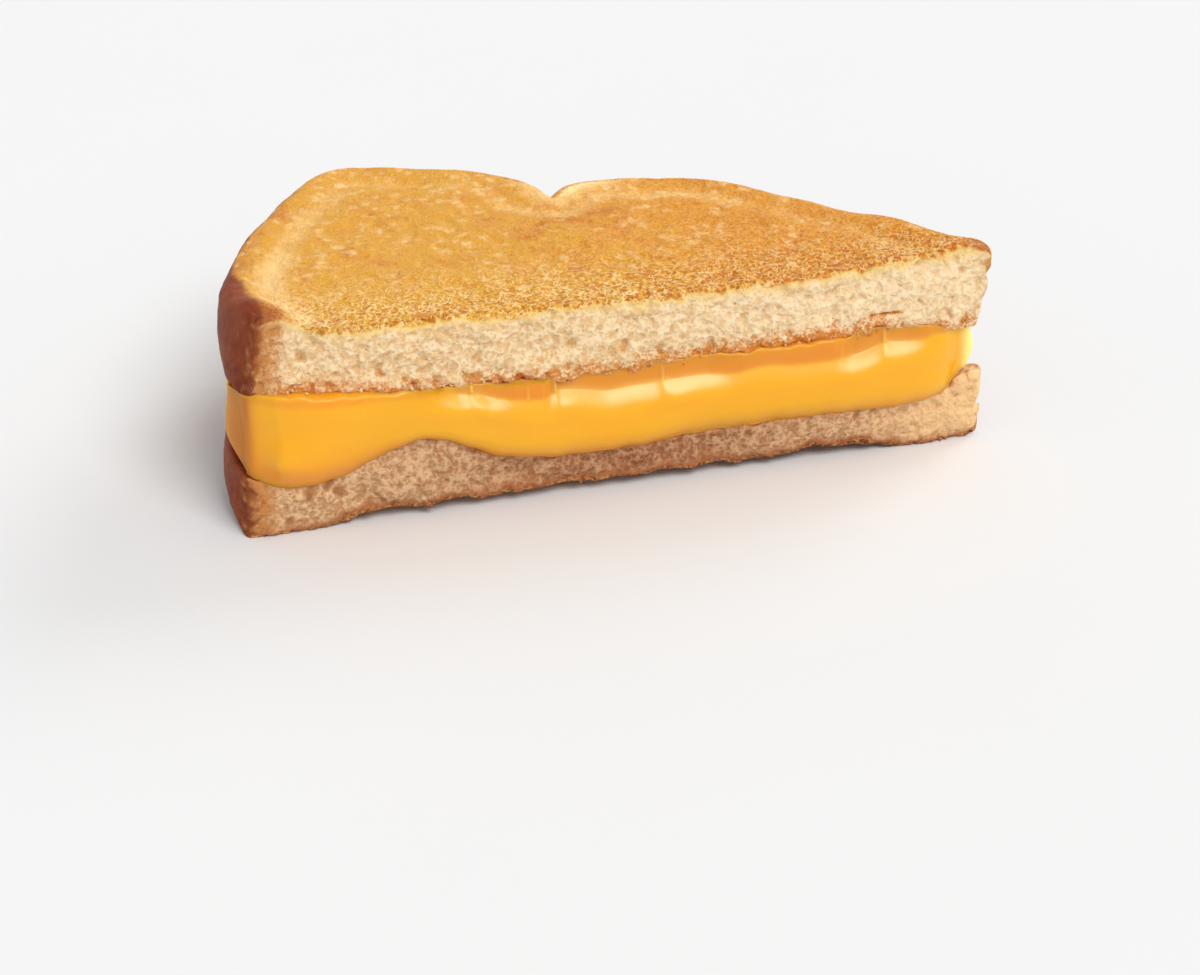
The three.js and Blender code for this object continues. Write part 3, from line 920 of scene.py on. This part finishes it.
def slice_piece(plan, name, node, look, surfaces, leans, upper):
    """A slice of fried bread: its surface, bent a little out of true, with the relief of its crumb, its fried
    face and its crust along its own normals."""
    part = Slice(plan, surfaces, leans, upper)
    marks = browning(part)
    points = part.points + bending(part)

    rows = np.flatnonzero(part.on_cut[:, 0])
    hollow = np.zeros(points.shape[:2])
    hollow[rows] = crumb_hollows(points[rows])
    # Painted shadow: the crease deepens the hollows, and adding it to the soaked mark darkens it as the
    # shadow along it.
    crease = hump(points[..., 0], CREASE[0], 3.0, 1.0) * hump(points[..., 2], CREASE[1], 0.32, 0.9)
    crease = crease * part.on_cut * part.seam_fade * upper
    hollow, marks["near_cheese"] = hollow + crease, marks["near_cheese"] + crease
    open_crumb = part.on_cut * (1 - 0.45 * marks["toast"])
    uneven = 0.35 * noise(points, 6, 41) + 0.18 * noise(points, 2.6, 42)
    grains = 0.2 * noise(points, 3.0, 51) + 0.12 * noise(points, 1.5, 52) - 0.4 * bubbles(points, 2.4, 53)
    dimples = 0.14 * noise(points, 7, 61) + 0.05 * noise(points, 1.6, 62)
    dimples = dimples + 0.9 * (0.3 - bubbles(points, 1.7, 63)) * fade(part.from_corner, 3.0)
    relief = open_crumb * (uneven + 0.6 - look.hollow_depth * hollow)
    relief = (relief + part.on_fried * grains + part.on_crust * dimples) * part.seam_fade
    points = points + grid_normals(points) * side_of(points) * relief[..., None]
    points[..., 2] = np.maximum(points[..., 2], 0)

    marks["hollow"] = np.clip(hollow * open_crumb, 0, 1.6)
    mesh = tube_mesh(name, points, {**marks, **tinting(part, points)})
    return add_piece(name, mesh, bread_material(name, look), node)


def crumbs_mesh(name, centres, radii, seed, marks):
    """Small rough lumps, each a ball of four rings and two poles whose places are pushed in or out at random
    and drawn out along one direction. centres are in plan millimetres."""
    rng = np.random.default_rng(seed)
    rings, turns = np.radians([36, 72, 108, 144]), np.radians(np.arange(6) * 60)
    ball = [[np.sin(r) * np.cos(t), np.sin(r) * np.sin(t), np.cos(r)] for r in rings for t in turns]
    ball = np.array([[0, 0, 1], *ball, [0, 0, -1]])
    around = np.arange(6)
    after = (around + 1) % 6
    faces = [np.stack([0 * around, 1 + around, 1 + after, 1 + after], axis=-1)]
    for a in (1, 7, 13):
        faces.append(np.stack([a + around, a + 6 + around, a + 6 + after, a + after], axis=-1))
    faces.append(np.stack([0 * around + 25, 19 + after, 19 + around, 19 + around], axis=-1))
    faces = np.concatenate(faces)
    count = len(centres)
    rough = 0.7 + 0.6 * rng.random((count, len(ball), 1))
    drawn = rng.normal(size=(count, 1, 3))
    drawn /= np.linalg.norm(drawn, axis=-1, keepdims=True)
    along = (ball[None] * drawn).sum(-1, keepdims=True)
    shapes = (ball[None] + 0.7 * along * drawn) * rough * np.asarray(radii)[:, None, None]
    points = shapes + np.asarray(centres)[:, None, :] - [*PLAN_CENTRE, 0]
    points[..., 2] = np.maximum(points[..., 2], 0)
    quads = (faces[None] + np.arange(count)[:, None, None] * len(ball)).reshape(-1, 4)
    polygons = [tuple(dict.fromkeys(q)) for q in quads.tolist()]
    mesh = bpy.data.meshes.new(name)
    mesh.from_pydata((points.reshape(-1, 3) * 0.001).tolist(), [], polygons)
    mesh.polygons.foreach_set("use_smooth", np.ones(len(polygons), bool))
    write_marks(mesh, {mark: np.repeat(values, len(ball)) for mark, values in marks.items()})
    return mesh


def strewn(plan, rng, count, first, last, insets):
    """Random places on the sections from first to just before last, in from the cut by a random inset
    between the two given, and their distances from the crust."""
    at = rng.integers(first, last, count)
    step = rng.uniform(*insets, count) * plan.cut_step[at]
    place = plan.cut[at] + plan.way[at] * step[:, None]
    return place, np.linalg.norm(place - plan.crust[at], axis=-1)


def crumb_pieces(plan, upper_look, lower_look):
    """Loose crumbs: along the torn foot of the upper slice, along the edges of the fried faces, and a torn
    flake that hangs from the curled foot of the lower slice."""
    rng = np.random.default_rng(7)
    foot, foot_far = strewn(plan, rng, 110, 16, 436, (-0.3, 0.4))
    foot_z = upper_bottom(foot, foot_far) + rng.normal(0.2, 0.45, len(foot))
    brink, brink_far = strewn(plan, rng, 150, 40, 440, (-0.1, 1.2))
    brink_z = upper_top(brink, brink_far) - np.where(brink[:, 1] < 0.4, 0.35, 0.0)
    places = np.vstack([np.column_stack([foot, foot_z]), np.column_stack([brink, brink_z])])
    radii = np.concatenate([rng.uniform(0.16, 0.42, len(foot)), rng.uniform(0.14, 0.36, len(brink))])
    soaked = np.concatenate([rng.uniform(0.5, 1.4, len(foot)), 0 * brink_z])
    soaked = soaked * (0.5 + 0.5 * smoothstep(places[:, 0], 30, 70))
    toast = np.concatenate([0 * foot_z, rng.uniform(0.6, 1, len(brink))])
    marks = {"near_cheese": soaked, "toast": toast, "hollow": rng.uniform(0.0, 0.7, len(places))}
    mesh = crumbs_mesh("upper_crumbs", places, radii, 8, marks)
    add_piece("upper_crumbs", mesh, bread_material("upper_toast", upper_look))

    edge, edge_far = strewn(plan, rng, 90, 8, 440, (-0.2, 0.6))
    edge_z = lower_bottom(edge, edge_far) + rng.uniform(0.25, 0.7, len(edge))
    flake = np.array(FLAKE)
    places = np.vstack([np.column_stack([edge, edge_z]), flake[:, :3]])
    radii = np.concatenate([rng.uniform(0.14, 0.4, len(edge)), flake[:, 3]])
    toast = np.concatenate([rng.uniform(0.3, 1, len(edge)), flake[:, 4]])
    mesh = crumbs_mesh("lower_crumbs", places, radii, 9, {"toast": toast})
    add_piece("lower_crumbs", mesh, bread_material("lower_toast", lower_look))


def cheese_piece(plan, look):
    """The layer of cheese: flat between the slices, with a free edge that stays back just under the bread,
    steps out of the cut in a round ridge, drops from it almost straight, hangs a little over the lower slice,
    and stays behind the crust. Each thread lifts the ridge to the bread, with a slope to its right."""
    rows, fulls, shares, sides, crests = [], [], [], [], []
    x_cut = plan.cut[:, 0]
    x, y = plan.crust.T
    recess = np.interp(x_cut, RECESS_AT, RECESS)
    swollen = look.bulge + swell(x_cut, CHEESE_SWELLS) + 0.35 * waves(x_cut / 5, 1)
    cut_inset = hump(x_cut, TIP_X, 7, 3.2) - swollen
    crust_inset = 0.9 + 0.6 * waves(x / 5, y / 4) - np.where(x < 56, hump(y, 4, 12, 0.3), 0)
    end_share = 1 - np.clip(plan.width / 6, 0, 1)
    shared = (cut_inset + crust_inset) / 2
    cut_inset, crust_inset = lerp(cut_inset, shared, end_share), lerp(crust_inset, shared, end_share)
    hang = CHEESE_HANG * (1 - hump(x_cut, TIP_X, 6, 1)) * plan.room
    nothing = 0 * x_cut
    lobe, lift, thread = nothing, nothing, nothing
    for at, rise, reach, stand_out in CHEESE_THREADS:
        past = x_cut - at
        lift = np.maximum(lift, rise * np.exp(-np.abs(past) / np.where(past < 0, 0.8, reach)))
        thread = np.maximum(thread, hump(past, 0, np.where(past < 0, 0.22, 0.34), rise))
        lobe = lobe + hump(past, 2.0, np.where(past < 2.0, 2.4, 5.5), stand_out)
    ridge_at = lerp(0.07, 0.2, smoothstep(x_cut, 33, 52)) * (1 - 0.6 * smoothstep(x_cut, 112, 124))
    ridge_end = ridge_at * (1 + 0.2 * waves(x_cut / 3.1, 2)) + RIDGE_STEP
    ridge_at = (ridge_end - RIDGE_STEP) * (1 - 0.35 * lift) + 0.005

    def squeezed_up(place):
        return hump(np.maximum(place[:, 1], 0), 0, 2.5, 0.7)

    def free_edge(near, inset, root, hang_mm, ridge, downwards):
        start, end = ridge_at * ridge, lerp(RIDGE_STEP, ridge_end, ridge)
        for share in steps(EDGE_ROWS, downwards):
            round_out = np.sin(np.pi / 2 * np.clip((share - start) / (end - start), 0, 1))
            curl_in = np.sin(np.pi / 2 * np.clip((1.08 - share) / 0.42, 0, 1)) ** 0.7
            up_ridge = share / ridge_at
            web = 0.38 * ridge * thread * np.clip(up_ridge, 0, 1) * np.clip(4.6 - 4 * up_ridge, 0, 1)
            fullness = np.minimum(lerp(recess, 1, round_out) + web * (1 - round_out), 1) * curl_in
            offset = lerp(root, inset, fullness) - ridge * lobe * hump(share - ridge_at, 0.14, 0.14, 1.0)
            offset = offset - ridge * hump(x_cut, 6, 6, 0.9) * smoothstep(share, 0.25, 0.55) * curl_in
            limit = np.where(hang_mm > 0.05, -GAP - 0.2, root) if share > 0.5 else root
            place = near(np.minimum(offset, limit))
            distance = plan.from_crust(place)
            high = upper_bottom(place, distance) - GAP
            low = lower_top(place, distance) + GAP - hang_mm
            calm = 0.4 * waves(place[:, 0], 0) * fade(place[:, 1], CUT_REACH) * seam_fade(plan)[0]
            level = lerp(high, low, share) - ridge * calm * (1 - share) * smoothstep(share, 0.0, 0.12)
            level = level + squeezed_up(place) * hump(share, 0.0, 0.08, 1.0)
            rows.append(np.column_stack([place, np.minimum(level, high + 1.5)]))
            fulls.append(fullness)
            ridge_shade = np.clip(0.2 + (ridge_at - share) / 0.04, 0, 1)
            ridge_shade = ridge_shade * (0.6 + 0.4 * smoothstep(x_cut, 24, 46))
            foot_shade = hump(share, 1, lerp(0.32, 0.12, smoothstep(x_cut, 12, 32)), 1.0)
            shares.append(lerp(hump(share, 0, 0.09, 0.9), ridge_shade, ridge) + foot_shade)
            sides.append(1.0 - ridge)
            # Painted highlight: the crest mark lightens the cheese where the ridge and the threads catch the
            # light, and raises its coat.
            glint = ridge * hump(share, ridge_at + 0.06, 0.09, 1.0)
            crests.append(glint * np.clip(1.6 - 2.2 * recess, 0, 1) + 2.2 * web)

    def face(surface, offset, outwards):
        start, end = plan.near_cut(CUT_ROUND), plan.near_crust(CRUST_ROUND)
        for share in steps(FACE_ROWS, outwards)[1:-1]:
            place = lerp(start, end, share)
            level = surface(place, plan.from_crust(place)) + offset
            rows.append(np.column_stack([place, level + squeezed_up(place) * (offset < 0)]))
            for values, value in ((fulls, nothing), (shares, nothing + 1), (sides, 0.5), (crests, nothing)):
                values.append(value)

    face(upper_bottom, -GAP, True)
    free_edge(plan.near_crust, crust_inset, CRUST_ROUND, nothing, 0, True)
    face(lower_top, GAP, False)
    free_edge(plan.near_cut, cut_inset, CUT_ROUND, hang, 1, False)
    points, full = np.stack(rows), np.array(fulls)
    by_crust = np.array(sides)[:, None] > 0.9
    up = np.clip((points[..., 2] - 9) / 15, 0, 1)
    points[..., :2] = leaned(points[..., :2], up, 1.5, 0.8, (2.9, 3.4))

    across = points * np.array([0.55, 1, 1])
    soft = 0.55 * noise(across, 9, 71) + 0.12 * noise(across, 4.5, 72)
    soft = soft + by_crust * (0.7 * noise(across, 13, 74) + 0.25 * noise(points, 5, 75))
    soft = soft + 1.6 * fade(np.linalg.norm((points - DROOP_AT) / DROOP_SIZE, axis=-1), 1)
    points = points + grid_normals(points) * side_of(points) * (full * soft * seam_fade(plan))[..., None]

    from_corner, from_tip = from_ends(points[..., :2])
    points[..., 0] += 0.8 * noise(points * np.array([0.3, 0.3, 1.0]), 4.5, 76) * fade(from_tip, TIP_REACH)
    marks = {
        "film": fade(from_corner, np.where(by_crust, 14, 1.6)) * (full > 0.01),
        # Painted glow: the thin right end of the cheese is lightened as where light shines through it from
        # behind.
        "stretched": smoothstep(points[..., 0], 127.0, 130.2) * (full > 0.01),
        "shaded": np.clip(np.array(shares), 0, 1),
        "crest": np.array(crests),
    }
    mesh = tube_mesh("melted_cheese", points, marks)
    return add_piece("melted_cheese", mesh, cheese_material(look), "cheese")


def stage(look):
    """A pale floor that curves up into a backdrop, light from all round, a soft key light, a weaker one from
    behind, and the camera."""
    scene = bpy.context.scene
    across, along = np.meshgrid(np.linspace(-3, 3, 25), np.linspace(-3, 3, 97))
    points = np.stack([across, along, np.maximum(along - FLOOR_CURVE_FROM, 0) ** 2 * 0.8], axis=-1)
    index = np.arange(points[..., 0].size).reshape(points.shape[:2])
    quads = quads_between(index[:-1], index[1:])
    mesh = bpy.data.meshes.new("floor")
    mesh.from_pydata(points.reshape(-1, 3).tolist(), [], quads.tolist())
    mesh.polygons.foreach_set("use_smooth", np.ones(len(quads), bool))
    material, flow, shader = new_material("pale_floor", {"Roughness": 0.9})
    darker = rgba([c * 0.985 for c in look.floor])
    tint = flow.mix(rgba(look.floor), darker, flow.grain(flow.millimetres(), 60.0))
    flow.feed(shader, {"Base Color": tint})
    mesh.materials.append(material)
    floor = bpy.data.objects.new("floor", mesh)
    scene.collection.objects.link(floor)

    world = bpy.data.worlds.new("studio")
    world.use_nodes = True
    background = world.node_tree.nodes["Background"]
    background.inputs["Color"].default_value = (1.0, 1.0, 1.0, 1)
    background.inputs["Strength"].default_value = SURROUND_STRENGTH
    scene.world = world

    for name, place, angle, power in LIGHTS:
        light = bpy.data.lights.new(name, "SUN")
        light.angle, light.energy = np.radians(angle), power
        lamp = bpy.data.objects.new(name, light)
        lamp.location = place
        lamp.rotation_euler = Vector(place).to_track_quat("Z", "Y").to_euler()
        scene.collection.objects.link(lamp)

    turn, climb = np.radians([look.azimuth, look.elevation])
    back = np.array([np.sin(turn) * np.cos(climb), -np.cos(turn) * np.cos(climb), np.sin(climb)])
    right = np.array([np.cos(turn), np.sin(turn), 0])
    over = np.cross(back, right)
    aim = np.array([*(CAMERA_AIM - PLAN_CENTRE), 0]) - CAMERA_LEFT * right - CAMERA_DOWN * over
    camera = bpy.data.cameras.new("camera")
    camera.lens, camera.sensor_width, camera.clip_start = look.lens, 36.0, 0.01
    eye = bpy.data.objects.new("camera", camera)
    turned = np.eye(4)
    turned[:3] = np.column_stack([right, over, back, (aim + back * CAMERA_DISTANCE) * 0.001])
    eye.matrix_world = Matrix(turned.tolist())
    scene.collection.objects.link(eye)
    scene.camera = eye
    scene.view_settings.view_transform = "Standard"


# ---- Operators ----


class SANDWICH_OT_upper_slice(bpy.types.Operator):
    """Add the upper slice of fried bread"""

    bl_idname = "sandwich.upper_slice"
    bl_label = "Upper Slice"

    def execute(self, context):
        slice_piece(Plan(), "upper_toast", "upper_slice", context.scene.upper_bread,
                    (upper_top, upper_bottom), UPPER_LEANS, True)
        return {"FINISHED"}


class SANDWICH_OT_lower_slice(bpy.types.Operator):
    """Add the lower slice of fried bread"""

    bl_idname = "sandwich.lower_slice"
    bl_label = "Lower Slice"

    def execute(self, context):
        slice_piece(Plan(), "lower_toast", "lower_slice", context.scene.lower_bread,
                    (lower_top, lower_bottom), LOWER_LEANS, False)
        return {"FINISHED"}


class SANDWICH_OT_cheese(bpy.types.Operator):
    """Add the layer of melted cheese"""

    bl_idname = "sandwich.cheese"
    bl_label = "Cheese"

    def execute(self, context):
        cheese_piece(Plan(), context.scene.melted_cheese)
        return {"FINISHED"}


class SANDWICH_OT_crumbs(bpy.types.Operator):
    """Add the loose crumbs and the hanging flake"""

    bl_idname = "sandwich.crumbs"
    bl_label = "Crumbs"

    def execute(self, context):
        crumb_pieces(Plan(), context.scene.upper_bread, context.scene.lower_bread)
        return {"FINISHED"}


class SANDWICH_OT_stage(bpy.types.Operator):
    """Add the floor, the lights and the camera"""

    bl_idname = "sandwich.stage"
    bl_label = "Stage"

    def execute(self, context):
        stage(context.scene.stage_look)
        return {"FINISHED"}


class SANDWICH_PT_panel(bpy.types.Panel):
    """Lists the pieces and their settings"""

    bl_label = "Grilled Cheese Sandwich"
    bl_idname = "SANDWICH_PT_panel"
    bl_space_type = "VIEW_3D"
    bl_region_type = "UI"
    bl_category = "Sandwich"

    def draw(self, context):
        for operator, settings in STEPS:
            column = self.layout.column()
            column.operator(operator.bl_idname)
            look = getattr(context.scene, settings) if settings else None
            for key in look.__annotations__ if look else ():
                column.prop(look, key)


STEPS = (
    (SANDWICH_OT_stage, "stage_look"),
    (SANDWICH_OT_lower_slice, "lower_bread"),
    (SANDWICH_OT_cheese, "melted_cheese"),
    (SANDWICH_OT_upper_slice, "upper_bread"),
    (SANDWICH_OT_crumbs, None),
)
SETTINGS = {
    "stage_look": StageLook, "lower_bread": BreadLook, "melted_cheese": CheeseLook, "upper_bread": BreadLook
}
CLASSES = (BreadLook, CheeseLook, StageLook, *(step[0] for step in STEPS), SANDWICH_PT_panel)


def register():
    for one in CLASSES:
        bpy.utils.register_class(one)
    for name, group in SETTINGS.items():
        setattr(bpy.types.Scene, name, bpy.props.PointerProperty(type=group))


def unregister():
    for name in SETTINGS:
        delattr(bpy.types.Scene, name)
    for one in reversed(CLASSES):
        bpy.utils.unregister_class(one)


def main():
    register()
    lower = bpy.context.scene.lower_bread
    # The lower slice takes its darker colours: partly fried darker and partly painted shade.
    for name, color in LOWER_FRIED_AND_SHADED_COLORS.items():
        setattr(lower, name, srgb(*color))
    lower.hollow_depth = LOWER_HOLLOW_DEPTH
    for operator, _ in STEPS:
        group, call = operator.bl_idname.split(".")
        getattr(getattr(bpy.ops, group), call)()


if __name__ == "__main__":
    main()
